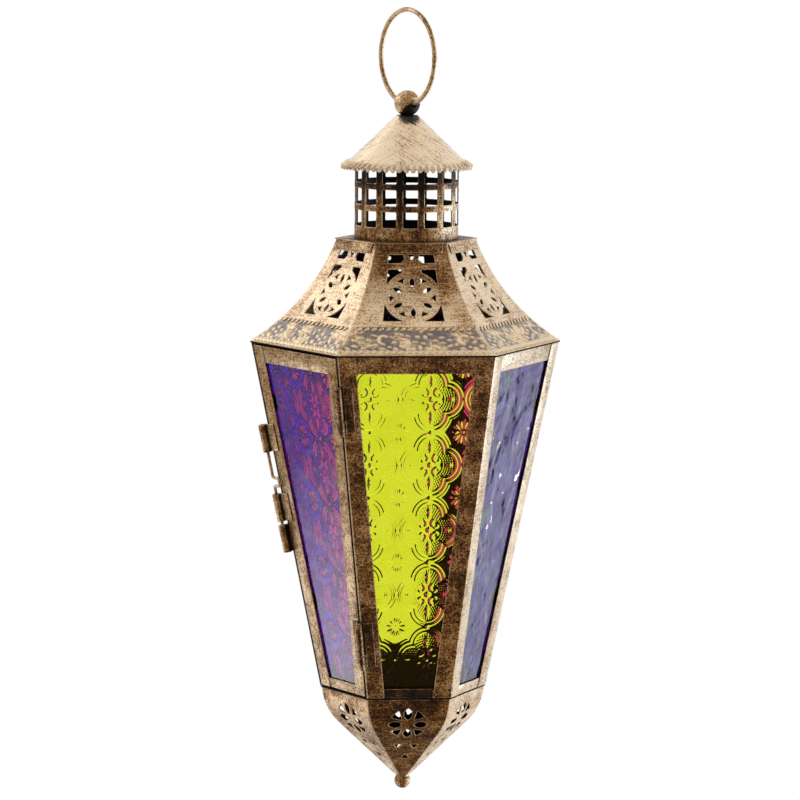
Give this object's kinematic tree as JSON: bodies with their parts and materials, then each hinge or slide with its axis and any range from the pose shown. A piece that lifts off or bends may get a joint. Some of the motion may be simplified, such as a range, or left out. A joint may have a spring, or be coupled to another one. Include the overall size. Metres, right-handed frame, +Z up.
{
  "type": "hanging candle lantern",
  "caption": "Six-sided tapering hanging lantern in antiqued metal with coloured pressed glass, a pierced chimney, dome and base, a latched door and a swinging ring.",
  "frame": {"origin": "inside top of the hanging ring, where a hook bears, on the lantern's upright axis", "axes": "+Z up along the lantern's axis, -Y out of the front face; the door is the face to the left of the front"},
  "size_m": [0.1572, 0.1365, 0.3983],
  "materials": {
    "antiqued_sheet": "black base with dry-brushed pale gold, worn along edges",
    "antiqued_wire": "black base with dry-brushed pale gold",
    "antiqued_ball": "black base with dry-brushed pale gold",
    "inner_sheet": "dark bronze, dull",
    "plain_steel": "plain, darkened",
    "lime_glass": "pressed pattern, yellow-green",
    "violet_glass": "pressed pattern, violet",
    "blue_glass": "pressed pattern, indigo blue"
  },
  "bodies": {
    "ring": {"hanging_ring": "antiqued_wire"},
    "lantern": {"base_finial": "antiqued_ball", "base_panel_back": "antiqued_sheet", "base_panel_back_left": "antiqued_sheet", "base_panel_back_right": "antiqued_sheet", "base_panel_door": "antiqued_sheet", "base_panel_front": "antiqued_sheet", "base_panel_right": "antiqued_sheet", "bottom_rail_back": "antiqued_sheet", "bottom_rail_back_left": "antiqued_sheet", "bottom_rail_back_right": "antiqued_sheet", "bottom_rail_front": "antiqued_sheet", "bottom_rail_right": "antiqued_sheet", "candle_cup": "inner_sheet", "chimney": "antiqued_sheet", "dome_panel_back": "antiqued_sheet", "dome_panel_back_left": "antiqued_sheet", "dome_panel_back_right": "antiqued_sheet", "dome_panel_door": "antiqued_sheet", "dome_panel_front": "antiqued_sheet", "dome_panel_right": "antiqued_sheet", "finial_ball": "antiqued_ball", "finial_nut": "plain_steel", "floor_plate": "inner_sheet", "frame_hinge_leaf_lower": "antiqued_sheet", "frame_hinge_leaf_upper": "antiqued_sheet", "glass_back": "lime_glass", "glass_back_left": "blue_glass", "glass_back_right": "violet_glass", "glass_front": "lime_glass", "glass_right": "blue_glass", "glass_tabs": "inner_sheet", "hinge_pin_lower": "plain_steel", "hinge_pin_upper": "plain_steel", "latch_keeper": "antiqued_sheet", "post_back_left": "antiqued_sheet", "post_back_right": "antiqued_sheet", "post_front_left": "antiqued_sheet", "post_front_right": "antiqued_sheet", "post_left": "antiqued_sheet", "post_right": "antiqued_sheet", "roof_cap": "antiqued_sheet", "top_plate": "antiqued_sheet", "top_rail_back": "antiqued_sheet", "top_rail_back_left": "antiqued_sheet", "top_rail_back_right": "antiqued_sheet", "top_rail_front": "antiqued_sheet", "top_rail_right": "antiqued_sheet", "top_ring": "antiqued_sheet"},
    "door": {"door_glass": "violet_glass", "door_glass_tabs": "inner_sheet", "door_hinge_leaf_lower": "antiqued_sheet", "door_hinge_leaf_upper": "antiqued_sheet", "door_rail_bottom": "antiqued_sheet", "door_rail_top": "antiqued_sheet", "door_stile_hinge": "antiqued_sheet", "door_stile_latch": "antiqued_sheet", "latch_guide_upper": "antiqued_sheet", "latch_guide_lower": "antiqued_sheet"},
    "latch": {"latch_pin": "antiqued_wire"}
  },
  "joints": [
    {"name": "ring_swing", "type": "hinge", "parent": "ring", "child": "lantern", "pos_m": [0, 0, -0.04575], "axis": [0.5, -0.866, 0], "range_deg": [-120, 120]},
    {"name": "door_hinge", "type": "hinge", "parent": "lantern", "child": "door", "pos_m": [-0.03112, -0.05391, -0.25482], "axis": [-0.0997, -0.1726, 0.9799], "range_deg": [0, 110]},
    {"name": "latch_slide", "type": "slide", "parent": "door", "child": "latch", "axis": [-0.1993, 0, 0.9799], "range_m": [-0.003, 0.01]}
  ]
}
